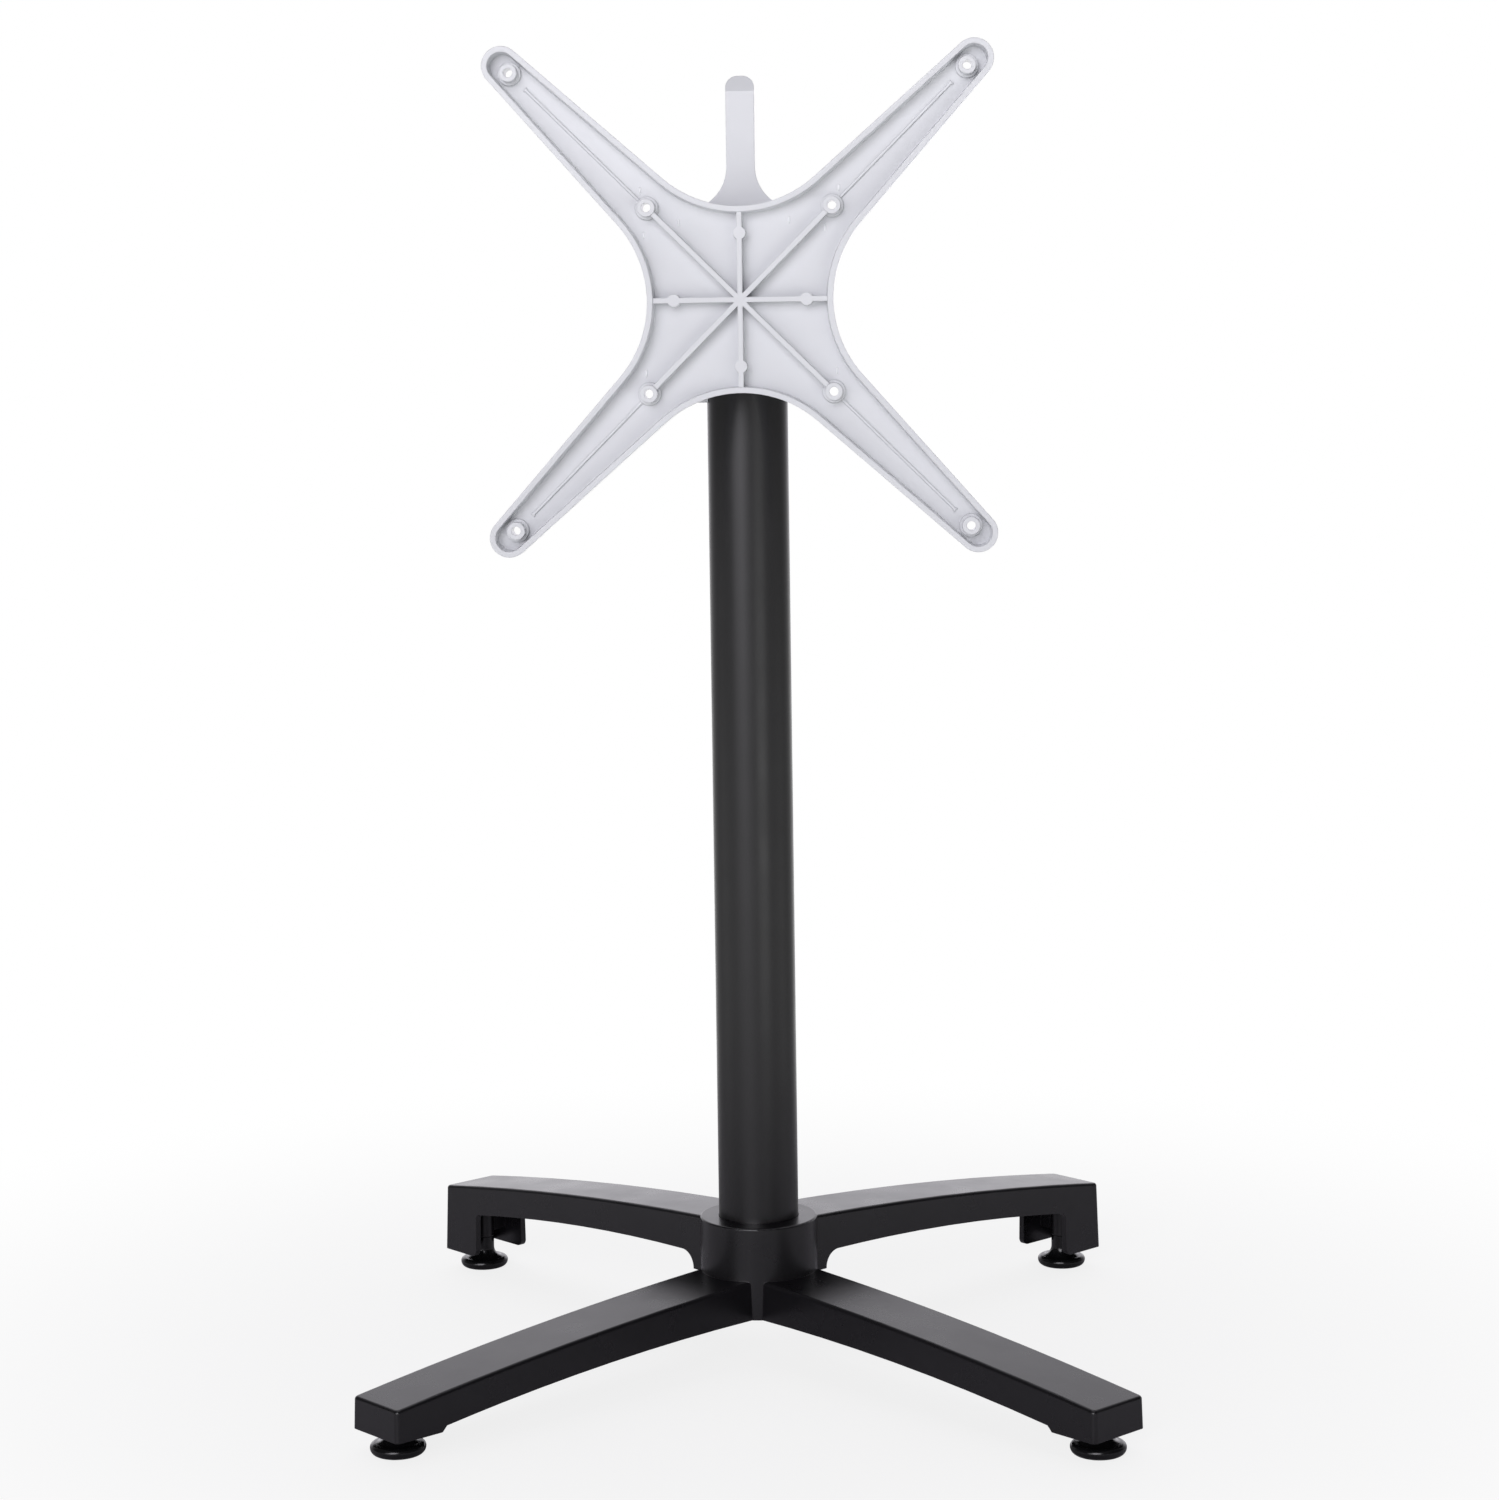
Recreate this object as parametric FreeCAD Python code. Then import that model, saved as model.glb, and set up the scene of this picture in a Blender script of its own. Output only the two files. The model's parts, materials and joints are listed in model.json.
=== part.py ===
import FreeCAD, Part
import math
import os

# Nesting table base with a flip top, in millimetres.
# The origin is on the floor under the column, +Z is up and -Y is the side that the upright head faces.
# The head is modelled flipped upright. In use it turns a quarter turn about the hinge pin, to a level face.

os.makedirs("parts", exist_ok=True)

# Clearances
running = 0.05
seat = 0.3
snug = 0.02
socket_room = 0.2
over = 1.0

# Heights and the column
use_height = 705.0
column_radius = 25.4
column_wall = 1.5

# Hub of the base casting
hub_radius = 37.5
hub_top = 88.2
hub_bottom = 29.8
hub_wall = 6.5
hub_floor = 10.0
hub_edge_round = 1.2
hub_overlap = 0.5
socket_depth = 10.0

# Legs of the base casting: reach is measured from the column's axis, heights from the floor
leg_root = 20.0
leg_middle = 170.0
leg_reach = 303.0
leg_overrun = 30.0
leg_width_hub = 48.2
leg_width_tip = 42.5
leg_draft_degrees = 1.35
leg_draft_level = 45.0
leg_wall = 4.0
leg_skin = 4.5
leg_edge_round = 2.0
leg_corner_round = 3.0
leg_inner_round = 0.5
back_leg_top = (86.4, 75.2, 58.2)
back_leg_under = (61.5, 55.2, 43.9)
front_leg_top = (54.6, 46.2, 32.6)
front_leg_under = (29.8, 26.0, 16.9)
back_leg_angles = (45.0, 135.0)
front_leg_angles = (225.0, 315.0)
root_round = 11.0
skirt_length = 35.0
skirt_bottom = 13.6
skirt_corner_round = 4.5
skirt_step = 3.4
rib_thickness = 3.0
rib_drop = 2.5
cross_rib_count = 3

# Levelling glides
glide_from_tip = 15.8
glide_radius = 16.4
glide_rim_height = 4.0
glide_rim_top = 6.8
glide_collar_radius = 6.9
glide_collar_top = 21.2
stud_radius = 4.0
stud_bottom = 6.5
stud_length = 21.7
stud_boss_radius = 6.9
stud_end_room = 0.4
stud_chamfer = 0.8

# Tie rod, washer and nut
rod_radius = 6.0
rod_hole_radius = 6.5
rod_end_length = 3.0
rod_thread_length = 12.0
rod_chamfer = 1.0
washer_radius = 18.0
washer_thickness = 3.0
nut_flats = 18.0
nut_height = 10.0

# Hinge: the pin is in front of the column's axis and below the table's face
pin_forward = 24.0
pin_drop = 60.0
pin_radius = 6.0
pin_end = 2.6
pin_chamfer = 0.8
clip_groove_depth = 0.8
clip_thickness = 1.2
clip_radius = 9.0
clip_mouth = 7.0
bush_wall = 1.5
bush_flange_radius = 10.5
bush_flange = 1.0

# Hinge head casting
collar_radius = 32.5
collar_height = 24.0
collar_skirt = 17.0
collar_relief_height = 8.0
collar_relief_front = 8.0
collar_relief_round = 4.0
collar_round = 1.5
collar_to_lug = 1.0
head_floor = 14.0
head_merge = 4.0
cam_radius = 18.0
cam_half_width = 20.7
cam_neck_front = 8.0
cam_neck_back = 18.0
notch_mouth = 10.0
notch_root = 6.0
notch_depth = 4.9
notch_overrun = 2.0
deck_front = 16.0
deck_back = 38.0
latch_pocket_half_width = 10.0
latch_pocket_front = 11.0
latch_pocket_back = 34.0
pad_thickness = 3.7
pad_width = 7.0
pad_length = 12.0
pad_from_end = 3.0
pad_round = 2.0

# Spider casting: sizes of the outline seen square on
hole_spacing_outer = 276.0
hole_spacing_inner = 112.0
hole_radius = 2.75
tip_centre = 142.2
tip_radius = 11.9
waist_centre = 125.8
waist_radius = 69.6
spider_depth = 14.0
spider_web = 3.5
spider_edge_round = 2.5
rim_width = 3.4
rim_draft = 0.8
rib_width = 3.2
rib_below_rim = 0.8
hub_pip_radius = 3.4
rib_pip_radius = 3.9
rib_pip_reach = 40.2
boss_radius = 5.3
boss_foot_radius = 7.0
boss_foot_height = 3.0
ridge_width = 1.5
ridge_height = 1.5
ridge_end_gap = 13.0
ridge_flare = 3.0

# Hinge lugs on the spider's back
lug_thickness = 8.0
lug_eye_radius = 13.0
lug_foot_lift = 7.0
lug_foot_end = 35.0
lug_foot_round = 4.0
lug_top_slope = 1.0
lug_leave_degrees = 235.0
lug_base = 4.0
lug_root_low = 27.0
lug_root_high = 52.0
stop_boss_radius = 6.0
stop_boss_drop = 25.0
bumper_length = 5.0
bumper_stem_radius = 2.5
bumper_stem_length = 6.0
bumper_round = 1.2

# Release lever with its latch tooth, pin and spring
lever_pin_back = 24.5
lever_pin_rise = 26.0
lever_pin_radius = 4.0
lever_barrel_radius = 8.0
lever_side_gap = 0.4
lever_clip_radius = 6.2
lever_thickness = 5.0
lever_tip_rise = 135.3
lever_bend_rise = 125.6
lever_bend_back = 5.0
lever_tip_flat = 3.0
lever_grip_half_width = 8.7
lever_flare_rise = 80.0
lever_flare_radius = 26.3
lever_flare_degrees = 54.2
lever_base_half_width = 21.0
lever_shoulder_rise = 52.0
lever_base_rise = 10.0
lever_rib_width = 3.0
lever_rib_depth = 5.0
lever_rib_foot_depth = 15.0
lever_rib_foot_rise = 18.0
lever_rib_top_rise = 104.0
tooth_half_width = 8.0
tooth_length = 6.0
tooth_tip_length = 4.6
tooth_reach = 26.0
arm_low = 3.7
arm_high = 6.0
arm_end_chamfer = 2.0
spring_left = 9.6
spring_barrel_gap = 1.2
spring_wire_radius = 0.8
spring_mean_radius = 6.3
spring_pitch = 3.4
spring_turns = 2.75
spring_leg = 17.0
spring_swing = 0.7
spring_pad_width = 3.5
spring_pad_low = 3.0

# Places worked out from the sizes above
pin_height = use_height - pin_drop
pin_y = -pin_forward
spider_height = pin_height + pin_forward
face_y = pin_y - pin_drop
back_y = face_y + spider_depth
glide_reach = leg_reach - glide_from_tip
socket_floor = hub_top - socket_depth
column_inner = column_radius - column_wall
lug_inner = cam_half_width + seat + bush_flange
lug_outer = lug_inner + lug_thickness
eye_bore = pin_radius + running + bush_wall
collar_top = pin_height - lug_eye_radius - collar_to_lug
collar_bottom = collar_top - collar_height
column_top = collar_bottom + collar_skirt
pad_top = pin_height + lug_foot_lift - seat
deck_top = pad_top - pad_thickness
lever_pin_y = pin_y - lever_pin_back
lever_pin_z = pin_height + lever_pin_rise
lever_base_low = lever_pin_z + lever_base_rise
lever_half_length = lug_inner - lever_side_gap
stop_end = -collar_radius - seat - bumper_length
pin_groove = lug_outer + seat
pin_half_length = pin_groove + clip_thickness + pin_end


def vec(x, y, z):
    return FreeCAD.Vector(x, y, z)


def side_point(y, z):
    return vec(0, y, z)


def plan_point(x, y):
    return vec(x, y, 0)


def upright_point(x, z):
    return vec(x, 0, z)


def loop(place, steps):
    """Closed wire: a step is a point reached by a line, or a pair (point on the arc, end of the arc)."""
    edges = []
    here = place(*steps[0])
    for step in steps[1:] + [steps[0]]:
        if isinstance(step[0], tuple):
            middle, end = place(*step[0]), place(*step[1])
            edges.append(Part.Arc(here, middle, end).toShape())
        else:
            end = place(*step)
            if end.isEqual(here, 1e-6):
                continue
            edges.append(Part.LineSegment(here, end).toShape())
        here = end
    return Part.Wire(edges)


def slab(wire, direction):
    return Part.Face(wire).extrude(direction)


def across(steps, left, right):
    """Extrude a side outline in (y, z) from x = left to x = right."""
    solid = slab(loop(side_point, steps), vec(right - left, 0, 0))
    solid.translate(vec(left, 0, 0))
    return solid


def upright_cylinder(radius, bottom, top, x=0.0, y=0.0):
    return Part.makeCylinder(radius, top - bottom, vec(x, y, bottom))


def cross_cylinder(radius, left, right, y, z):
    return Part.makeCylinder(radius, right - left, vec(left, y, z), vec(1, 0, 0))


def rearward_cylinder(radius, start, end, z):
    return Part.makeCylinder(radius, end - start, vec(0, start, z), vec(0, 1, 0))


def box(x0, x1, y0, y1, z0, z1):
    return Part.makeBox(x1 - x0, y1 - y0, z1 - z0, vec(x0, y0, z0))


def drafted(wires):
    """Solid between two like outlines at different levels, with its flat sides as true planes."""
    faces = []
    for face in Part.makeLoft(wires, True, True).Faces:
        flat = face.findPlane() is not None
        faces.append(Part.Face(Part.Wire(face.OuterWire.Edges)) if flat else face)
    shell = Part.makeShell(faces)
    shell.sewShape()
    return Part.makeSolid(shell)


def round_edges(shape):
    return [e for e in shape.Edges if isinstance(e.Curve, Part.Circle)]


def fuse(first, *others):
    return first.multiFuse(list(others)).removeSplitter()


def turned(shape, degrees):
    copy = shape.copy()
    copy.rotate(vec(0, 0, 0), vec(0, 0, 1), degrees)
    return copy


def mirrored(shape):
    return shape.mirror(vec(0, 0, 0), vec(1, 0, 0))


def arc_middle(centre, radius, degrees):
    angle = math.radians(degrees)
    return (centre[0] + radius * math.cos(angle), centre[1] + radius * math.sin(angle))


def through(points):
    """Height as a function of reach: the circle through three (reach, height) points."""
    circle = Part.Circle(*[vec(r, 0, z) for r, z in points])
    centre, radius = circle.Center, circle.Radius
    side = 1.0 if points[1][1] > centre.z else -1.0
    return lambda reach: centre.z + side * math.sqrt(radius ** 2 - (reach - centre.x) ** 2)


def leg_plan(level, inset):
    """Plan outline of a leg along +X at a height, drawn inwards from the faces by inset."""
    spread = (leg_draft_level - level) * math.tan(math.radians(leg_draft_degrees)) - inset
    root = leg_width_hub / 2 + spread
    tip = leg_width_tip / 2 + spread
    end = leg_reach + spread
    corner = max(leg_corner_round - inset, leg_inner_round)
    shoulder = tip - corner
    steps = [(0.0, -root), (end - corner, -tip)]
    steps.append((arc_middle((end - corner, -shoulder), corner, -45), (end, -shoulder)))
    steps.append((end, shoulder))
    steps.append((arc_middle((end - corner, shoulder), corner, 45), (end - corner, tip)))
    steps.append((0.0, root))
    wire = loop(plan_point, steps)
    wire.translate(vec(0, 0, level))
    return wire


def leg_prism(inset):
    return drafted([leg_plan(0.0, inset), leg_plan(2 * leg_draft_level, inset)])


def leg_side(steps):
    """Extrude a side outline in (reach, height) across the leg's whole width."""
    solid = slab(loop(upright_point, steps), vec(0, 2 * leg_width_hub, 0))
    solid.translate(vec(0, -leg_width_hub, 0))
    return solid


def leg_body(top, under, skirt_steps, blend_root):
    """Outside of one leg: arched top, arched underside and a deep skirt round the tip."""
    reaches = (leg_root, leg_middle, leg_reach)
    end = leg_reach + leg_overrun
    top_at = through(list(zip(reaches, top)))
    under_at = through([(leg_root, under[0]), (leg_middle, under[1]), (leg_reach - skirt_length, under[2])])
    steps = [(leg_root, top_at(leg_root)), ((leg_middle, top_at(leg_middle)), (end, top_at(end)))]
    steps += [(end, skirt_bottom)] + skirt_steps
    if blend_root:
        foot = hub_radius - hub_overlap
        bend = foot + root_round
        meet = under_at(bend)
        steps.append(((leg_middle, under_at(leg_middle)), (bend, meet)))
        steps.append((arc_middle((bend, meet - root_round), root_round, 135), (foot, meet - root_round)))
        steps.append((leg_root, meet - root_round))
    else:
        steps.append(((leg_middle, under_at(leg_middle)), (leg_root, under_at(leg_root))))
    body = leg_prism(0.0).common(leg_side(steps))
    crown = [e for e in body.Edges if is_crown_edge(e, top_at)]
    return body.makeFillet(leg_edge_round, crown), top_at, under_at


def is_crown_edge(edge, top_at):
    """True for the edges that run round the top face, but not for the one buried in the hub."""
    first, last = edge.Vertexes[0].Point, edge.Vertexes[-1].Point
    if max(first.x, last.x) < leg_root + over:
        return False
    return all(abs(p.z - top_at(p.x)) < 0.01 for p in (first, last))


def leg_hollow(top_at):
    """Space inside a leg, open downwards, under a skin of even thickness."""
    start = hub_radius + hub_overlap
    end = leg_reach + leg_overrun
    ceiling = [(start, top_at(start) - leg_skin)]
    ceiling.append(((leg_middle, top_at(leg_middle) - leg_skin), (end, top_at(end) - leg_skin)))
    steps = ceiling + [(end, 0.0), (start, 0.0)]
    return leg_prism(leg_wall).common(leg_side(steps))


def leg_ribs(top_at, under_at):
    """Cross ribs of the channel and the boss that takes the glide's stud, with their ends inside the walls."""
    half = leg_width_hub / 2
    spacing = (leg_reach - skirt_length - hub_radius) / (cross_rib_count + 1)
    ribs = []
    for place in range(cross_rib_count):
        reach = hub_radius + spacing * (place + 1)
        low = under_at(reach) + rib_drop
        ribs.append(box(reach, reach + rib_thickness, -half, half, low, top_at(reach) - leg_skin / 2))
    boss_bottom = glide_collar_top + seat
    ceiling = top_at(glide_reach) - leg_edge_round
    ribs.append(upright_cylinder(stud_boss_radius, boss_bottom, ceiling, glide_reach))
    web_low = boss_bottom + rib_drop
    half_rib = rib_thickness / 2
    ribs.append(box(glide_reach - half_rib, glide_reach + half_rib, -half, half, web_low, ceiling))
    ribs.append(box(glide_reach, leg_reach - leg_wall / 2, -half_rib, half_rib, web_low, ceiling))
    limits = leg_prism(leg_wall / 2)
    return [rib.common(limits) for rib in ribs]


def stud_hole():
    depth = stud_bottom + stud_length + stud_end_room
    return upright_cylinder(stud_radius + running, 0.0, depth, glide_reach)


def make_leg(top, under, skirt_steps, blend_root):
    body, top_at, under_at = leg_body(top, under, skirt_steps, blend_root)
    shell = body.cut(leg_hollow(top_at))
    return fuse(shell, *leg_ribs(top_at, under_at)).cut(stud_hole())


def make_back_leg():
    """Upper leg: its skirt hangs far below the arm, so a lower leg of the next base passes under the arm."""
    start = leg_reach - skirt_length
    rise = back_leg_under[2]
    corner = skirt_corner_round
    low_centre = (start + corner, skirt_bottom + corner)
    steps = [(low_centre[0], skirt_bottom), (arc_middle(low_centre, corner, 225), (start, low_centre[1]))]
    steps.append((start, rise - corner))
    steps.append((arc_middle((start - corner, rise - corner), corner, 45), (start - corner, rise)))
    return make_leg(back_leg_top, back_leg_under, steps, True)


def make_front_leg():
    """Lower leg: its skirt is only a little deeper than the arm and ends in a small slope."""
    start = leg_reach - skirt_length
    rise = front_leg_under[2]
    steps = [(start + skirt_step, skirt_bottom), (start, rise)]
    return make_leg(front_leg_top, front_leg_under, steps, False)


def make_base_casting():
    hub = upright_cylinder(hub_radius, hub_bottom, hub_top)
    crown = [e for e in hub.Edges if e.BoundBox.ZMin > hub_top - 0.01]
    hub = hub.makeFillet(hub_edge_round, crown)
    back, front = make_back_leg(), make_front_leg()
    legs = [turned(back, angle) for angle in back_leg_angles]
    legs += [turned(front, angle) for angle in front_leg_angles]
    casting = fuse(hub, *legs)
    casting = casting.cut(upright_cylinder(hub_radius - hub_wall, 0.0, socket_floor - hub_floor))
    casting = casting.cut(upright_cylinder(column_radius + socket_room, socket_floor, hub_top + over))
    return casting.cut(upright_cylinder(rod_hole_radius, 0.0, hub_top))


def make_column_tube():
    outside = upright_cylinder(column_radius, socket_floor, column_top)
    return outside.cut(upright_cylinder(column_inner, socket_floor, column_top))


def make_tie_rod():
    low = socket_floor - hub_floor - washer_thickness - nut_height - rod_end_length
    rod = upright_cylinder(rod_radius, low, column_top + rod_thread_length)
    return rod.makeChamfer(rod_chamfer, round_edges(rod))


def make_tie_washer():
    top = socket_floor - hub_floor
    washer = upright_cylinder(washer_radius, top - washer_thickness, top)
    return washer.cut(upright_cylinder(rod_hole_radius, 0.0, top))


def hexagon(flats, bottom, top):
    """Hexagonal prism with rounded-off corners at both ends, as a nut is turned."""
    corner = flats / math.sqrt(3)
    corners = [arc_middle((0.0, 0.0), corner, 60 * i) for i in range(7)]
    prism = slab(Part.makePolygon([vec(x, y, bottom) for x, y in corners]), vec(0, 0, top - bottom))
    fall = (corner - flats / 2) * math.tan(math.radians(30))
    outline = [(0.0, bottom), (flats / 2, bottom), (corner, bottom + fall), (corner, top - fall)]
    outline += [(flats / 2, top), (0.0, top)]
    return prism.common(revolved(outline))


def revolved(outline):
    """Turn an outline of (radius, height) steps about the Z axis."""
    wire = loop(upright_point, outline)
    return Part.Face(wire).revolve(vec(0, 0, 0), vec(0, 0, 1), 360)


def make_tie_nut():
    top = socket_floor - hub_floor - washer_thickness
    nut = hexagon(nut_flats, top - nut_height, top)
    return nut.cut(upright_cylinder(rod_radius + running, 0.0, top))


def glide_place(angle):
    return vec(*arc_middle((0.0, 0.0), glide_reach, angle), 0)


def make_glide(angle):
    """Moulded foot: flat sole, bulging rim, hollow neck line and a straight collar."""
    rim = (glide_radius, glide_rim_height)
    upper_round = glide_rim_top - glide_rim_height
    sole_centre = (glide_radius - glide_rim_height, glide_rim_height)
    upper_centre = (glide_radius - upper_round, glide_rim_height)
    neck_round = upper_centre[0] - glide_collar_radius
    neck_centre = (upper_centre[0], glide_rim_top + neck_round)
    outline = [(0.0, 0.0), (sole_centre[0], 0.0)]
    outline.append((arc_middle(sole_centre, glide_rim_height, -45), rim))
    outline.append((arc_middle(upper_centre, upper_round, 45), (upper_centre[0], glide_rim_top)))
    outline.append((arc_middle(neck_centre, neck_round, 225), (glide_collar_radius, neck_centre[1])))
    outline += [(glide_collar_radius, glide_collar_top), (0.0, glide_collar_top)]
    glide = revolved(outline)
    glide = glide.cut(upright_cylinder(stud_radius + snug, stud_bottom, glide_collar_top))
    glide.translate(glide_place(angle))
    return glide


def make_stud(angle):
    stud = upright_cylinder(stud_radius, stud_bottom, stud_bottom + stud_length)
    stud = stud.makeChamfer(stud_chamfer, round_edges(stud))
    stud.translate(glide_place(angle))
    return stud


def latch_notch(degrees):
    """Tapered notch in the cam's rim, opening outwards at an angle from straight up towards the front."""
    low = cam_radius - notch_depth
    high = cam_radius + notch_overrun
    mouth, root = notch_mouth / 2, notch_root / 2
    half_width = tooth_half_width + over
    notch = across([(-mouth, high), (-root, low), (root, low), (mouth, high)], -half_width, half_width)
    notch.rotate(vec(0, 0, 0), vec(1, 0, 0), -degrees)
    notch.translate(vec(0, pin_y, pin_height))
    return notch


def collar_relief():
    """Cut-away of the collar's lower edge in front, where the column shows up to the dish."""
    top, end = collar_bottom + collar_relief_height, -collar_relief_front
    centre = (end - collar_relief_round, top - collar_relief_round)
    steps = [(-collar_radius - over, collar_bottom - over), (-collar_radius - over, top), (centre[0], top)]
    steps.append((arc_middle(centre, collar_relief_round, 45), (end, centre[1])))
    steps.append((end, collar_bottom - over))
    return across(steps, -collar_radius, collar_radius)


def make_hinge_head():
    """Collar over the column, a notched cam round the pin, and two deck cheeks for the rubber pads."""
    collar = upright_cylinder(collar_radius, collar_bottom, collar_top)
    collar = collar.makeFillet(collar_round, round_edges(collar)).cut(collar_relief())
    cam = cross_cylinder(cam_radius, -cam_half_width, cam_half_width, pin_y, pin_height)
    low = collar_top - head_merge
    front, back = pin_y - cam_neck_front, pin_y + cam_neck_back
    neck = box(-cam_half_width, cam_half_width, front, back, low, pin_height)
    deck = box(-collar_radius, collar_radius, pin_y + deck_front, pin_y + deck_back, low, deck_top)
    deck = deck.common(upright_cylinder(collar_radius, collar_bottom, deck_top))
    head = fuse(collar, cam, neck, deck)
    pocket = box(-latch_pocket_half_width, latch_pocket_half_width, pin_y + latch_pocket_front,
                 pin_y + latch_pocket_back, column_top + head_floor, pin_height + cam_radius)
    pocket = pocket.cut(cross_cylinder(cam_radius, -cam_half_width, cam_half_width, pin_y, pin_height))
    head = head.cut(pocket)
    head = head.cut(latch_notch(0.0)).cut(latch_notch(90.0))
    head = head.cut(upright_cylinder(column_radius + socket_room, collar_bottom, column_top))
    rod_end = column_top + rod_thread_length
    head = head.cut(upright_cylinder(rod_radius + running, collar_bottom, rod_end + over))
    bore = cross_cylinder(pin_radius + snug, -cam_half_width, cam_half_width, pin_y, pin_height)
    return head.cut(bore)


def stop_pad():
    middle = (lug_inner + lug_outer) / 2
    front = pin_y + lug_foot_end - pad_from_end - pad_length
    pad = box(middle - pad_width / 2, middle + pad_width / 2, front, front + pad_length, deck_top, pad_top)
    return pad.makeFillet(pad_round, [e for e in pad.Edges if e.BoundBox.ZLength > pad_thickness / 2])


def make_stop_pads():
    pad = stop_pad()
    return Part.makeCompound([pad, mirrored(pad)])


def grooved_pin(radius, half_length, groove, y, z):
    """Pin along X with a clip groove near each end."""
    pin = cross_cylinder(radius, -half_length, half_length, y, z)
    pin = pin.makeChamfer(pin_chamfer, round_edges(pin))
    for start in (groove, -groove - clip_thickness):
        ring = cross_cylinder(radius + over, start, start + clip_thickness, y, z)
        ring = ring.cut(cross_cylinder(radius - clip_groove_depth, start, start + clip_thickness, y, z))
        pin = pin.cut(ring)
    return pin


def clip_pair(pin_size, outside, groove, y, z):
    """Two spring clips, each an open ring that snaps into its groove."""
    inner = pin_size - clip_groove_depth
    ring = cross_cylinder(outside, groove, groove + clip_thickness, y, z)
    ring = ring.cut(cross_cylinder(inner, groove, groove + clip_thickness, y, z))
    mouth = clip_mouth / 2 * pin_size / pin_radius
    gap = box(groove, groove + clip_thickness, y - mouth, y + mouth, z - outside - over, z)
    clip = ring.cut(gap)
    return Part.makeCompound([clip, mirrored(clip)])


def make_hinge_pin():
    return grooved_pin(pin_radius, pin_half_length, pin_groove, pin_y, pin_height)


def make_hinge_clips():
    return clip_pair(pin_radius, clip_radius, pin_groove, pin_y, pin_height)


def make_hinge_bushes():
    """Flanged bushes pressed into the lugs from the inside."""
    outer = eye_bore - snug
    sleeve = cross_cylinder(outer, lug_inner, lug_outer, pin_y, pin_height)
    flange = cross_cylinder(bush_flange_radius, lug_inner - bush_flange, lug_inner, pin_y, pin_height)
    bore = cross_cylinder(pin_radius + running, lug_inner - bush_flange, lug_outer, pin_y, pin_height)
    bush = fuse(sleeve, flange).cut(bore)
    return Part.makeCompound([bush, mirrored(bush)])


def spider_outline(inset, level):
    """Four-armed outline at a level, drawn inwards by inset: round tips, straight arms, hollow sides."""
    tip, waist = tip_radius - inset, waist_radius + inset
    rise = tip_centre - waist_centre
    span = math.hypot(tip_centre, rise)
    slope = math.degrees(math.atan2(rise, tip_centre) + math.asin((tip + waist) / span))
    steps = []
    for quarter in range(4):
        turn = 90.0 * quarter
        tip_mid = spun((tip_centre, tip_centre), turn)
        waist_mid = spun((0.0, waist_centre), turn)
        start = arc_middle(tip_mid, tip, turn + slope + 90)
        end = arc_middle(tip_mid, tip, turn - slope)
        side_end = arc_middle(waist_mid, waist, turn + slope - 90)
        side_start = arc_middle(waist_mid, waist, turn - slope - 90)
        steps.append(end)
        steps.append((arc_middle(tip_mid, tip, turn + 45), start))
        steps.append(side_end)
        steps.append((arc_middle(waist_mid, waist, turn - 90), side_start))
    wire = loop(plan_point, steps)
    wire.translate(vec(0, 0, level))
    return wire


def spun(point, degrees):
    angle = math.radians(degrees)
    return (point[0] * math.cos(angle) - point[1] * math.sin(angle),
            point[0] * math.sin(angle) + point[1] * math.cos(angle))


def rib_between(reach_0, reach_1, width, bottom, top, degrees):
    return turned(box(reach_0, reach_1, -width / 2, width / 2, bottom, top), degrees)


def ridge_tip(reach, floor):
    """Small three-cornered end of the ridge that runs along an arm."""
    steps = [(reach - ridge_flare, 0.0), (reach, -ridge_flare / 2), (reach, ridge_flare / 2)]
    tip = slab(loop(plan_point, steps), vec(0, 0, ridge_height))
    tip.translate(vec(0, 0, floor))
    return tip


def spider_dish():
    """The ribbed dish with its face level at height 0, before it is stood upright."""
    dish = slab(spider_outline(0.0, 0.0), vec(0, 0, -spider_depth))
    back = [e for e in dish.Edges if e.BoundBox.ZMax < 0.01 - spider_depth]
    dish = dish.makeFillet(spider_edge_round, back)
    floor = spider_web - spider_depth
    mouth, bed = spider_outline(rim_width, 0.0), spider_outline(rim_width + rim_draft, floor)
    dish = dish.cut(drafted([mouth, bed]))
    rib_top = -rib_below_rim
    inner = hole_spacing_inner / 2 * math.sqrt(2)
    outer = hole_spacing_outer / 2 * math.sqrt(2)
    waist = waist_centre - waist_radius
    extras = [upright_cylinder(hub_pip_radius, floor, rib_top)]
    for quarter in range(4):
        straight = 90.0 * quarter
        diagonal = straight + 45
        extras.append(rib_between(0.0, waist - rim_width / 2, rib_width, floor, rib_top, straight))
        extras.append(rib_between(0.0, inner, rib_width, floor, rib_top, diagonal))
        ridge_start = inner + boss_radius - over
        ridge_end = outer - ridge_end_gap
        extras.append(rib_between(ridge_start, ridge_end, ridge_width, floor, floor + ridge_height, diagonal))
        extras.append(turned(ridge_tip(ridge_end, floor), diagonal))
        extras.append(upright_cylinder(rib_pip_radius, floor, rib_top, *spun((rib_pip_reach, 0.0), straight)))
        for reach in (inner, outer):
            place = spun((reach, 0.0), diagonal)
            extras.append(upright_cylinder(boss_radius, floor, 0.0, *place))
            extras.append(upright_cylinder(boss_foot_radius, floor, floor + boss_foot_height, *place))
    body = slab(spider_outline(rim_width / 2, floor), vec(0, 0, -floor))
    extras = [extra.common(body) for extra in extras]
    return fuse(dish, *extras)


def spider_holes():
    holes = []
    for spacing in (hole_spacing_inner, hole_spacing_outer):
        for x in (-spacing / 2, spacing / 2):
            for y in (-spacing / 2, spacing / 2):
                holes.append(upright_cylinder(hole_radius, -spider_depth - over, over, x, y))
    return Part.makeCompound(holes)


def stand_upright(shape):
    """Turn a shape from the level position so that its face looks along -Y, at the head's place."""
    copy = shape.copy()
    copy.rotate(vec(0, 0, 0), vec(1, 0, 0), 90)
    copy.translate(vec(0, face_y, spider_height))
    return copy


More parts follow.
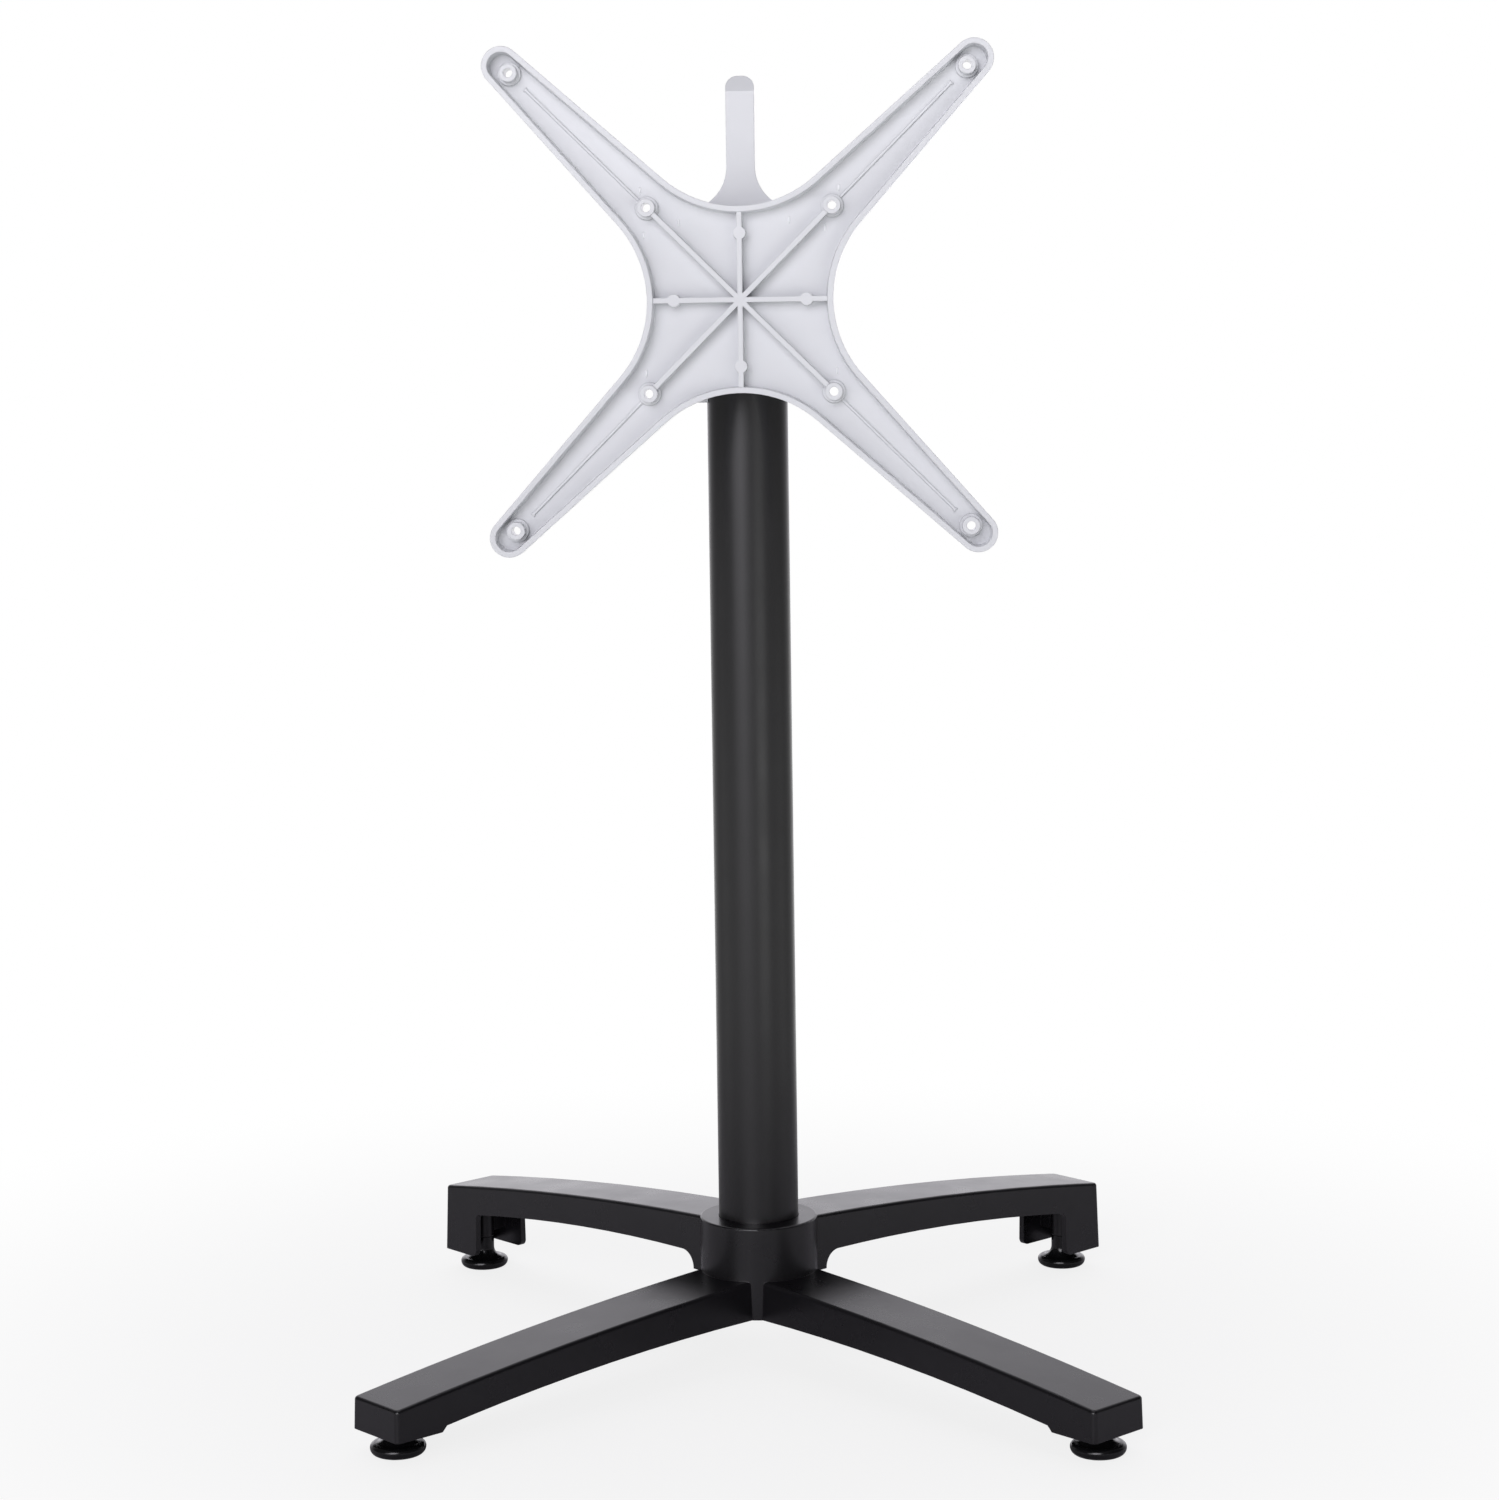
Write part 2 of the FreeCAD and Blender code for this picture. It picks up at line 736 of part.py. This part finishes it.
def lug():
    """One hinge lug on the right: eye, ear for the lever's pin, and the foot that lands on the pad."""
    root_y = back_y - spider_web / 2
    foot_y = pin_y - lug_foot_lift
    foot_join = pin_height + math.sqrt(lug_eye_radius ** 2 - lug_foot_lift ** 2)
    foot_end = pin_height + lug_foot_end
    eye = (pin_y, pin_height)
    round_centre = (foot_y - lug_foot_round, foot_end - lug_foot_round)
    steps = [(root_y, pin_height - lug_root_low), (back_y + lug_base, pin_height - lug_root_low)]
    steps.append(arc_middle(eye, lug_eye_radius, lug_leave_degrees))
    steps.append((arc_middle(eye, lug_eye_radius, 0), (foot_y, foot_join)))
    steps.append((foot_y, round_centre[1]))
    steps.append((arc_middle(round_centre, lug_foot_round, 45), (round_centre[0], foot_end)))
    steps.append((lever_pin_y, foot_end + lug_top_slope))
    steps += [(back_y + lug_base, pin_height + lug_root_high), (root_y, pin_height + lug_root_high)]
    plate = across(steps, lug_inner, lug_outer)
    plate = plate.cut(cross_cylinder(eye_bore, lug_inner, lug_outer, pin_y, pin_height))
    return plate.cut(cross_cylinder(lever_pin_radius + snug, lug_inner, lug_outer, lever_pin_y, lever_pin_z))


def make_spider_casting():
    dish = stand_upright(spider_dish())
    right = lug()
    stop_z = pin_height - stop_boss_drop
    stop_root = back_y - spider_web / 2
    stop = rearward_cylinder(stop_boss_radius, stop_root, stop_end, stop_z)
    casting = fuse(dish, right, mirrored(right), stop)
    casting = casting.cut(stand_upright(spider_holes()))
    stem_root = stop_end - bumper_stem_length - seat
    return casting.cut(rearward_cylinder(bumper_stem_radius + snug, stem_root, stop_end, stop_z))


def make_stand_bumper():
    """Rubber button on the stop boss: it meets the collar when the head stands upright."""
    stop_z = pin_height - stop_boss_drop
    button = rearward_cylinder(stop_boss_radius, stop_end, stop_end + bumper_length, stop_z)
    rim = [e for e in button.Edges if e.BoundBox.YMin > stop_end + bumper_length / 2]
    button = button.makeFillet(bumper_round, rim)
    stem = rearward_cylinder(bumper_stem_radius, stop_end - bumper_stem_length, stop_end, stop_z)
    return fuse(button, stem)


def lever_front_face():
    """Outline of the paddle seen square on, in (x, z): round tip, slim grip, flared base."""
    grip, tip = lever_grip_half_width, lever_pin_z + lever_tip_rise
    corner = grip - lever_tip_flat / 2
    tip_x, tip_z = grip - corner, tip - corner
    flare_top = lever_pin_z + lever_flare_rise
    flare_centre = (grip + lever_flare_radius, flare_top)
    flare_mid = arc_middle(flare_centre, lever_flare_radius, 180 + lever_flare_degrees / 2)
    flare_end = arc_middle(flare_centre, lever_flare_radius, 180 + lever_flare_degrees)
    base, shoulder = lever_base_half_width, lever_pin_z + lever_shoulder_rise
    right = [(tip_x, tip), (arc_middle((tip_x, tip_z), corner, 45), (grip, tip_z))]
    right += [(grip, flare_top), (flare_mid, flare_end), (base, shoulder), (base, lever_base_low)]
    left = [(-base, lever_base_low), (-base, shoulder), (-flare_end[0], flare_end[1])]
    left += [((-flare_mid[0], flare_mid[1]), (-grip, flare_top)), (-grip, tip_z)]
    left.append((arc_middle((-tip_x, tip_z), corner, 135), (-tip_x, tip)))
    wire = loop(upright_point, right + left)
    solid = slab(wire, vec(0, 4 * lever_base_half_width, 0))
    solid.translate(vec(0, lever_pin_y - 2 * lever_base_half_width, 0))
    return solid


def lever_side(front, back, low):
    """Bent side outline of the paddle between two offsets from its middle plane."""
    bend, tip = lever_pin_z + lever_bend_rise, lever_pin_z + lever_tip_rise + over
    y_front, y_back = lever_pin_y + front, lever_pin_y + back
    steps = [(y_front, low), (y_front, bend), (y_front + lever_bend_back, tip)]
    return steps + [(y_back + lever_bend_back, tip), (y_back, bend), (y_back, low)]


def make_latch_lever():
    """Release lever: paddle, barrel on its pin, and the arm with the latch tooth."""
    half = lever_thickness / 2
    paddle = across(lever_side(-half, half, lever_base_low), -lever_half_length, lever_half_length)
    paddle = paddle.common(lever_front_face())
    barrel_end = spring_left - spring_barrel_gap
    barrel = cross_cylinder(lever_barrel_radius, -lever_half_length, barrel_end, lever_pin_y, lever_pin_z)
    neck = box(over - lever_half_length, barrel_end, lever_pin_y - half, lever_pin_y + half,
               lever_pin_z, lever_base_low + over)
    tooth_y = lever_pin_y + tooth_reach
    tooth_tip = pin_height + cam_radius + seat
    low, high = lever_pin_z - arm_low, lever_pin_z + arm_high
    back, root, tip = tooth_y + tooth_length / 2, tooth_length / 2, tooth_tip_length / 2
    steps = [(lever_pin_y, low), (tooth_y - root, low), (tooth_y - tip, tooth_tip)]
    steps += [(tooth_y + tip, tooth_tip), (back, low), (back, high - arm_end_chamfer)]
    steps += [(back - arm_end_chamfer, high), (lever_pin_y, high)]
    arm = across(steps, -tooth_half_width, tooth_half_width)
    rib_y, rib_low, rib_top = lever_pin_y + half, high - over, lever_pin_z + lever_rib_top_rise
    steps = [(lever_pin_y, rib_low), (rib_y + lever_rib_foot_depth, rib_low)]
    steps.append((rib_y + lever_rib_depth, lever_pin_z + lever_rib_foot_rise))
    steps += [(rib_y, rib_top), (lever_pin_y, rib_top)]
    rib = across(steps, -lever_rib_width / 2, lever_rib_width / 2)
    pad_front = lever_pin_y - spring_mean_radius + spring_wire_radius + running
    pad = box(lever_base_half_width - spring_pad_width, lever_base_half_width, pad_front, lever_pin_y,
              lever_base_low + spring_pad_low, lever_pin_z + spring_leg)
    lever = fuse(paddle, barrel, neck, arm, rib, pad)
    end = lever_half_length + over
    return lever.cut(cross_cylinder(lever_pin_radius + running, -end, end, lever_pin_y, lever_pin_z))


def make_lever_pin():
    return grooved_pin(lever_pin_radius, pin_half_length, pin_groove, lever_pin_y, lever_pin_z)


def make_lever_clips():
    return clip_pair(lever_pin_radius, lever_clip_radius, pin_groove, lever_pin_y, lever_pin_z)


def make_lever_spring():
    """Torsion spring on the lever's pin: one leg meets the dish, the other the small pad on the paddle."""
    coil = Part.makeHelix(spring_pitch, spring_pitch * spring_turns, spring_mean_radius, 0, True)
    coil.rotate(vec(0, 0, 0), vec(0, 0, 1), 90)
    axis_along_x = FreeCAD.Rotation(vec(1, 1, 1), 120)
    start = vec(spring_left + spring_wire_radius, lever_pin_y, lever_pin_z)
    coil.Placement = FreeCAD.Placement(start, axis_along_x).multiply(coil.Placement)
    curve = coil.Edges[0]
    top, top_way = curve.valueAt(curve.FirstParameter), curve.tangentAt(curve.FirstParameter)
    front, front_way = curve.valueAt(curve.LastParameter), curve.tangentAt(curve.LastParameter)
    dish_end = top + top_way * ((back_y + spring_swing - top.y) / top_way.y)
    dish_leg = Part.LineSegment(dish_end, top).toShape()
    paddle_leg = Part.LineSegment(front, front + front_way * spring_leg).toShape()
    section = Part.Wire([Part.Circle(dish_end, top_way, spring_wire_radius).toShape()])
    return Part.Wire([dish_leg, curve, paddle_leg]).makePipeShell([section], True, False)


def export(name, shape):
    shape.exportStep("parts/" + name + ".step")
    print(name, "solids", len(shape.Solids), "valid", shape.isValid(), "volume", round(shape.Volume))


export("base_casting", make_base_casting())
export("column_tube", make_column_tube())
export("tie_rod", make_tie_rod())
export("tie_washer", make_tie_washer())
export("tie_nut", make_tie_nut())
export("hinge_head", make_hinge_head())
export("hinge_pin", make_hinge_pin())
export("hinge_clips", make_hinge_clips())
export("hinge_bushes", make_hinge_bushes())
export("stop_pads", make_stop_pads())
export("spider_casting", make_spider_casting())
export("stand_bumper", make_stand_bumper())
export("latch_lever", make_latch_lever())
export("lever_pin", make_lever_pin())
export("lever_clips", make_lever_clips())
export("lever_spring", make_lever_spring())

glide_places = {"back_right": back_leg_angles[0], "back_left": back_leg_angles[1]}
glide_places.update({"front_left": front_leg_angles[0], "front_right": front_leg_angles[1]})
for place, angle in glide_places.items():
    export("glide_" + place, make_glide(angle))
    export("glide_stud_" + place, make_stud(angle))
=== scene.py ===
import bpy
import json
import math
from mathutils import Matrix, Vector


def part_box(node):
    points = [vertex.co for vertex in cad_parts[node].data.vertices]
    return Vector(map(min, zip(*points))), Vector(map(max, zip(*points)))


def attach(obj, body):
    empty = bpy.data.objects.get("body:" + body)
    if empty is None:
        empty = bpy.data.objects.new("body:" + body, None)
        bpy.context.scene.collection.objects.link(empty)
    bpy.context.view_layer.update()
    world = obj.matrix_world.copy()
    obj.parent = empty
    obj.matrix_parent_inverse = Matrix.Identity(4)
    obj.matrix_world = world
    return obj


# Looks of the nesting table base: black powder-coated foot and column, silver-painted head, black glides.
# Lengths are in metres. The camera looks along +Y.

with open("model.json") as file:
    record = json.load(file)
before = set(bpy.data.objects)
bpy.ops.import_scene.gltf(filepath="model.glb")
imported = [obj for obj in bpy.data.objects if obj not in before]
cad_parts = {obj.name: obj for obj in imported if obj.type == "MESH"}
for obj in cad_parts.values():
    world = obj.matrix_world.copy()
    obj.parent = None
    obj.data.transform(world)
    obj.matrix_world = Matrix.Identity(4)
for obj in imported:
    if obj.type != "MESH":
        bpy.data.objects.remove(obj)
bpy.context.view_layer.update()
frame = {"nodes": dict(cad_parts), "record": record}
nodes = frame["nodes"]

# Camera of the photograph
camera_place = Vector((0.0897, -2.0533, 0.6164))
camera_yaw = math.radians(-2.513)
camera_pitch = math.radians(-3.740)
camera_roll = math.radians(-0.797)
focal_length_mm = 78.21
sensor_mm = 36.0
frame_shift_up = -0.10

# Places on the head, in metres
spider_middle_height = 0.669
web_below_face = 0.0105

# Room and floor, in metres
room_tint = (1.0, 0.98, 1.04, 1.0)
floor_half = 12.0
streak_heading = (0.51, -0.86, 0.0)

# Soft lights of the room: direction, cosines of the outer and inner rim, strength in the middle
soft_lights = (
    ((-0.17, -0.92, 0.34), 0.93, 0.995, 5.0),
    ((-0.48, -0.87, 0.06), 0.94, 0.99, 2.6),
    ((0.0, 0.1, 1.0), 0.88, 0.98, 0.93),
)


def photograph_camera():
    data = bpy.data.cameras.new("camera")
    data.lens = focal_length_mm
    data.sensor_width = sensor_mm
    data.shift_y = frame_shift_up
    data.clip_end = 50.0
    camera = bpy.data.objects.new("camera", data)
    bpy.context.scene.collection.objects.link(camera)
    flat = math.cos(camera_pitch)
    ahead = Vector((math.sin(camera_yaw) * flat, math.cos(camera_yaw) * flat, math.sin(camera_pitch)))
    level = Vector((math.cos(camera_yaw), -math.sin(camera_yaw), 0.0))
    over = level.cross(ahead)
    right = math.cos(camera_roll) * level + math.sin(camera_roll) * over
    up = math.cos(camera_roll) * over - math.sin(camera_roll) * level
    turn = Matrix((right, up, -ahead)).transposed()
    camera.matrix_world = Matrix.Translation(camera_place) @ turn.to_4x4()
    bpy.context.scene.camera = camera


def add(tree, kind, **values):
    """A new node with its properties or input sockets set by name."""
    node = tree.nodes.new(kind)
    for key, value in values.items():
        if hasattr(node, key):
            setattr(node, key, value)
        else:
            node.inputs[key.replace("_", " ")].default_value = value
    return node


def ramp(tree, source, from_low, from_high, low, high, smooth=True):
    """Map a value from one span to another, held at both ends."""
    span = add(tree, "ShaderNodeMapRange", interpolation_type="SMOOTHSTEP" if smooth else "LINEAR")
    for key, value in (("From Min", from_low), ("From Max", from_high), ("To Min", low), ("To Max", high)):
        span.inputs[key].default_value = value
    tree.links.new(source, span.inputs["Value"])
    return span.outputs["Result"]


def combine(tree, operation, *sources):
    """Math on sockets or plain numbers."""
    node = add(tree, "ShaderNodeMath", operation=operation)
    for slot, source in zip(node.inputs, sources):
        if isinstance(source, (int, float)):
            slot.default_value = source
        else:
            tree.links.new(source, slot)
    return node.outputs[0]


def toward(tree, heading, direction):
    """Cosine of the angle between a heading and a fixed direction."""
    node = add(tree, "ShaderNodeVectorMath", operation="DOT_PRODUCT")
    node.inputs[1].default_value = direction
    tree.links.new(heading, node.inputs[0])
    return node.outputs["Value"]


def blend(tree, share, first, second):
    """Mix two shaders: share 0 is the first, share 1 the second."""
    node = add(tree, "ShaderNodeMixShader")
    for slot, source in zip(node.inputs, (share, first, second)):
        tree.links.new(source, slot)
    return node.outputs[0]


def studio():
    """White backdrop with a soft room: bright behind the object, dimmer on the camera's side."""
    world = bpy.data.worlds.new("studio")
    bpy.context.scene.world = world
    world.use_nodes = True
    tree = world.node_tree
    tree.nodes.clear()
    way = add(tree, "ShaderNodeTexCoord").outputs["Generated"]
    split = add(tree, "ShaderNodeSeparateXYZ")
    tree.links.new(way, split.inputs[0])
    behind = ramp(tree, split.outputs["Y"], 0.12, 0.9, 0.13, 1.2)
    left_to_right = ramp(tree, split.outputs["X"], -0.7, 0.7, 1.3, 0.95, smooth=False)
    flank = ramp(tree, combine(tree, "ABSOLUTE", split.outputs["X"]), 0.3, 0.75, 1.0, 0.4)
    upward = ramp(tree, split.outputs["Z"], 0.05, 0.45, 1.1, 0.72, smooth=False)
    level = combine(tree, "MULTIPLY", combine(tree, "MULTIPLY", left_to_right, flank), upward)
    total = combine(tree, "MULTIPLY", behind, level)
    for direction, outer, inner, peak in soft_lights:
        near_axis = toward(tree, way, Vector(direction).normalized())
        total = combine(tree, "ADD", total, ramp(tree, near_axis, outer, inner, 0.0, peak))
    room = add(tree, "ShaderNodeBackground", Color=room_tint)
    tree.links.new(total, room.inputs["Strength"])
    white = add(tree, "ShaderNodeBackground", Color=(1.0, 1.0, 1.0, 1.0))
    ray = add(tree, "ShaderNodeLightPath")
    out = add(tree, "ShaderNodeOutputWorld")
    mixed = blend(tree, ray.outputs["Is Camera Ray"], room.outputs[0], white.outputs[0])
    tree.links.new(mixed, out.inputs["Surface"])


def floor_glow(tree, place, distance):
    """Light that the far floor gives off: brighter behind, dimmer at both flanks, with one streak in front."""
    split = add(tree, "ShaderNodeSeparateXYZ")
    tree.links.new(place, split.inputs[0])
    depth = ramp(tree, split.outputs["Y"], -0.6, 0.6, 0.95, 1.3)
    heading = add(tree, "ShaderNodeVectorMath", operation="NORMALIZE").outputs[0]
    tree.links.new(place, heading.node.inputs[0])
    ways = add(tree, "ShaderNodeSeparateXYZ")
    tree.links.new(heading, ways.inputs[0])
    lateral = ramp(tree, combine(tree, "ABSOLUTE", ways.outputs["X"]), 0.3, 0.75, 0.0, 0.65)
    behind = ramp(tree, ways.outputs["Y"], -0.2, 0.4, 0.0, 1.0)
    kept = combine(tree, "SUBTRACT", 1.0, combine(tree, "MULTIPLY", lateral, behind))
    strength = combine(tree, "MULTIPLY", depth, kept)
    streak = ramp(tree, toward(tree, heading, streak_heading), 0.955, 0.99, 0.0, 1.6)
    start = ramp(tree, distance, 0.8, 2.2, 0.0, 1.0)
    glow = add(tree, "ShaderNodeEmission")
    tree.links.new(combine(tree, "MULTIPLY_ADD", streak, start, strength), glow.inputs["Strength"])
    return glow.outputs[0]


def floor():
    """Pale floor that keeps the shadow and fades into the white backdrop."""
    half = floor_half
    mesh = bpy.data.meshes.new("floor")
    mesh.from_pydata([(-half, -half, 0), (half, -half, 0), (half, half, 0), (-half, half, 0)], [], [(0, 1, 2, 3)])
    plane = bpy.data.objects.new("floor", mesh)
    bpy.context.scene.collection.objects.link(plane)
    mat = bpy.data.materials.new("floor")
    mat.use_nodes = True
    tree = mat.node_tree
    tree.nodes.clear()
    place = add(tree, "ShaderNodeNewGeometry").outputs["Position"]
    length = add(tree, "ShaderNodeVectorMath", operation="LENGTH")
    tree.links.new(place, length.inputs[0])
    distance = length.outputs["Value"]
    matt = add(tree, "ShaderNodeBsdfDiffuse", Color=(0.93, 0.93, 0.93, 1.0))
    white = add(tree, "ShaderNodeEmission")
    shown = blend(tree, ramp(tree, distance, 0.2, 0.85, 0.82, 1.0), matt.outputs[0], white.outputs[0])
    near = add(tree, "ShaderNodeBsdfDiffuse", Color=(0.68, 0.665, 0.70, 1.0))
    far = floor_glow(tree, place, distance)
    reflected = blend(tree, ramp(tree, distance, 0.35, 1.1, 0.0, 1.0), near.outputs[0], far)
    ray = add(tree, "ShaderNodeLightPath")
    out = add(tree, "ShaderNodeOutputMaterial")
    tree.links.new(blend(tree, ray.outputs["Is Camera Ray"], reflected, shown), out.inputs["Surface"])
    mat.cycles.emission_sampling = "NONE"
    mesh.materials.append(mat)


class Finish:
    """A procedural material built on one Principled shader, in the object's own coordinates."""

    def __init__(self, name, colour, roughness, metallic=0.0, specular=0.5, edge_radius=0.0):
        self.material = bpy.data.materials.new(name)
        self.material.use_nodes = True
        self.tree = self.material.node_tree
        self.shader = self.tree.nodes["Principled BSDF"]
        self.colour = colour
        self.shader.inputs["Base Color"].default_value = (*colour, 1.0)
        self.shader.inputs["Roughness"].default_value = roughness
        self.shader.inputs["Metallic"].default_value = metallic
        self.shader.inputs["Specular IOR Level"].default_value = specular
        self.coords = add(self.tree, "ShaderNodeTexCoord")
        self.height = None
        if edge_radius:
            edges = add(self.tree, "ShaderNodeBevel", samples=6, Radius=edge_radius)
            self.height = edges.outputs["Normal"]
            self.tree.links.new(self.height, self.shader.inputs["Normal"])

    def noise(self, scale, detail=3.0, stretch=(1.0, 1.0, 1.0)):
        mapping = add(self.tree, "ShaderNodeMapping", Scale=stretch)
        texture = add(self.tree, "ShaderNodeTexNoise", Scale=scale, Detail=detail)
        self.tree.links.new(self.coords.outputs["Object"], mapping.inputs["Vector"])
        self.tree.links.new(mapping.outputs[0], texture.inputs["Vector"])
        return texture.outputs["Fac"]

    def spread(self, source, low, high, from_low=0.3, from_high=0.7):
        return ramp(self.tree, source, from_low, from_high, low, high, smooth=False)

    def vary_roughness(self, source, low, high):
        self.tree.links.new(self.spread(source, low, high), self.shader.inputs["Roughness"])

    def vary_colour(self, source, amount):
        """Darken and lighten the base colour by a share of itself."""
        mix = add(self.tree, "ShaderNodeMix", data_type="RGBA")
        mix.inputs[6].default_value = (*[c * (1 - amount) for c in self.colour], 1.0)
        mix.inputs[7].default_value = (*[min(1.0, c * (1 + amount)) for c in self.colour], 1.0)
        self.tree.links.new(self.spread(source, 0.0, 1.0), mix.inputs[0])
        self.tree.links.new(mix.outputs[2], self.shader.inputs["Base Color"])

    def bump(self, source, strength, distance):
        """Add one more layer of relief; distance is its depth in metres."""
        relief = add(self.tree, "ShaderNodeBump", Strength=strength, Distance=distance)
        self.tree.links.new(source, relief.inputs["Height"])
        if self.height is not None:
            self.tree.links.new(self.height, relief.inputs["Normal"])
        self.height = relief.outputs["Normal"]
        self.tree.links.new(self.height, self.shader.inputs["Normal"])


def powder_coat(name, colour, roughness, peel_scale, peel_depth):
    """Satin black powder coat: fine orange peel, with slightly uneven gloss."""
    finish = Finish(name, colour, roughness, specular=0.5, edge_radius=0.0006)
    finish.vary_roughness(finish.noise(35.0, 4.0), roughness - 0.02, roughness + 0.03)
    finish.vary_colour(finish.noise(60.0, 5.0), 0.12)
    finish.bump(finish.noise(peel_scale, 2.0), 0.5, peel_depth)
    finish.bump(finish.noise(peel_scale * 3.5, 3.0), 0.4, peel_depth * 0.3)
    return finish.material


def silver_paint():
    """Satin silver paint over a die casting: faint lilac grey, fine grain, slow clouds in the tone."""
    finish = Finish("silver_paint", (0.70, 0.712, 0.735), 0.36, specular=0.5, edge_radius=0.0009)
    finish.shader.inputs["Coat Weight"].default_value = 0.5
    finish.shader.inputs["Coat Roughness"].default_value = 0.16
    finish.vary_colour(finish.noise(18.0, 4.0), 0.02)
    finish.vary_roughness(finish.noise(120.0, 3.0), 0.32, 0.41)
    finish.tree.links.new(finish.shader.inputs["Normal"].links[0].from_socket, finish.shader.inputs["Coat Normal"])
    return finish.material


def silver_painted_highlight():
    """Silver paint made lighter for the small raised marks: a painted highlight where they catch the light."""
    finish = Finish("silver_painted_highlight", (0.90, 0.91, 0.93), 0.3, specular=0.6)
    finish.vary_colour(finish.noise(40.0, 3.0), 0.02)
    finish.vary_roughness(finish.noise(120.0, 3.0), 0.25, 0.36)
    return finish.material


def glossy_plastic():
    finish = Finish("black_plastic", (0.006, 0.006, 0.0065), 0.16, specular=0.5)
    finish.vary_roughness(finish.noise(160.0, 5.0), 0.11, 0.24)
    finish.vary_colour(finish.noise(90.0, 4.0), 0.2)
    finish.bump(finish.noise(420.0, 2.0), 0.3, 0.00003)
    return finish.material


def zinc_steel():
    finish = Finish("zinc_steel", (0.60, 0.60, 0.59), 0.32, metallic=1.0)
    finish.vary_colour(finish.noise(120.0, 4.0), 0.08)
    finish.vary_roughness(finish.noise(240.0, 4.0), 0.24, 0.42)
    finish.bump(finish.noise(700.0, 3.0, (1.0, 1.0, 6.0)), 0.25, 0.00003)
    return finish.material


def rubber():
    finish = Finish("rubber", (0.022, 0.022, 0.023), 0.75, specular=0.35)
    finish.vary_colour(finish.noise(150.0, 4.0), 0.18)
    finish.vary_roughness(finish.noise(400.0, 3.0), 0.66, 0.84)
    finish.bump(finish.noise(1500.0, 3.0), 0.5, 0.00006)
    return finish.material


def bush_plastic():
    finish = Finish("bush_plastic", (0.74, 0.72, 0.66), 0.38, specular=0.5)
    finish.vary_colour(finish.noise(200.0, 3.0), 0.04)
    finish.vary_roughness(finish.noise(500.0, 3.0), 0.33, 0.46)
    finish.bump(finish.noise(800.0, 2.0), 0.3, 0.00003)
    return finish.material


def new_piece(name, points, faces, finish, body):
    """Mesh object in world metres with one finish, riding on a body."""
    mesh = bpy.data.meshes.new(name)
    mesh.from_pydata(points, [], faces)
    mesh.validate()
    mesh.materials.append(finish)
    for polygon in mesh.polygons:
        polygon.use_smooth = True
    piece = bpy.data.objects.new(name, mesh)
    bpy.context.scene.collection.objects.link(piece)
    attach(piece, body)
    return piece


def ejector_ticks(finish):
    """Short raised bars that the mould leaves on the web round the inner bosses, in metres from the middle."""
    places = [(-0.0602, 0.0668), (-0.0371, 0.0472), (-0.0582, 0.0398), (0.0299, 0.0480), (0.0516, 0.0427),
              (0.0602, 0.0668), (-0.0578, -0.0435), (0.0578, -0.0435)]
    half_width, half_length, height, sunk = 0.0006, 0.0021, 0.0009, 0.0002
    low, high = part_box("spider_casting")
    middle_x, middle_z = (low[0] + high[0]) / 2, spider_middle_height
    front = low[1] + web_below_face
    points, faces = [], []
    for x, z in places:
        first = len(points)
        ring = []
        for step in range(16):
            angle = 2 * math.pi * step / 16
            bend = half_length - half_width if math.sin(angle) >= 0 else half_width - half_length
            ring.append((half_width * math.cos(angle), bend + half_width * math.sin(angle)))
        for depth, share in ((sunk, 1.0), (-0.4 * height, 0.95), (-0.85 * height, 0.7), (-height, 0.25)):
            for u, v in ring:
                points.append((middle_x + x + u * share, front + depth, middle_z + z + v * share))
        for level in range(3):
            for step in range(16):
                a, b = first + 16 * level + step, first + 16 * level + (step + 1) % 16
                faces.append((a, b, b + 16, a + 16))
        faces.append(tuple(first + 48 + step for step in range(16)))
    new_piece("ejector_ticks", points, faces, finish, "top_spider")


def rod_thread(finish):
    """Thread on the lower end of the tie rod, below its nut."""
    low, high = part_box("tie_rod")
    radius = (high[0] - low[0]) / 2
    middle = ((low[0] + high[0]) / 2, (low[1] + high[1]) / 2)
    pitch, crest, root, around = 0.00125, 0.00028, 0.0001, 40
    turns = 1.9
    points, faces = [], []
    count = int(around * turns)
    for step in range(count + 1):
        angle = 2 * math.pi * step / around
        level = low[2] + 0.0004 + pitch * step / around
        fade = min(1.0, step / 8, (count - step) / 8)
        for rise, out in ((-0.4, -root), (-0.06, crest * fade), (0.06, crest * fade), (0.4, -root)):
            reach = radius + out
            points.append((middle[0] + reach * math.cos(angle), middle[1] + reach * math.sin(angle),
                           level + rise * pitch))
    for step in range(count):
        for k in range(3):
            a = 4 * step + k
            faces.append((a, a + 1, a + 5, a + 4))
        faces.append((4 * step + 3, 4 * step, 4 * step + 4, 4 * step + 7))
    faces.append((0, 3, 2, 1))
    last = 4 * count
    faces.append((last, last + 1, last + 2, last + 3))
    new_piece("rod_thread", points, faces, finish, "base")


def paint_nodes():
    """Give every carried-over piece the finish of its slot."""
    finishes = {
        "black_casting": powder_coat("black_cast_coat", (0.0074, 0.0069, 0.0082), 0.28, 650.0, 0.00002),
        "black_tube": powder_coat("black_tube_coat", (0.0054, 0.0050, 0.0060), 0.31, 800.0, 0.00001),
        "silver_casting": silver_paint(),
        "zinc_steel": zinc_steel(),
        "black_rubber": rubber(),
        "black_plastic": glossy_plastic(),
        "bush_plastic": bush_plastic(),
    }
    for part in frame["record"]["subparts"]:
        piece = nodes[part["node"]]
        piece.data.materials.clear()
        piece.data.materials.append(finishes[part["material_slot"]])
    return finishes


photograph_camera()
studio()
floor()
finishes = paint_nodes()
# The ticks get the lighter silver paint: a painted highlight on the raised marks.
ejector_ticks(silver_painted_highlight())
rod_thread(finishes["zinc_steel"])
bpy.context.scene.view_settings.view_transform = "Standard"
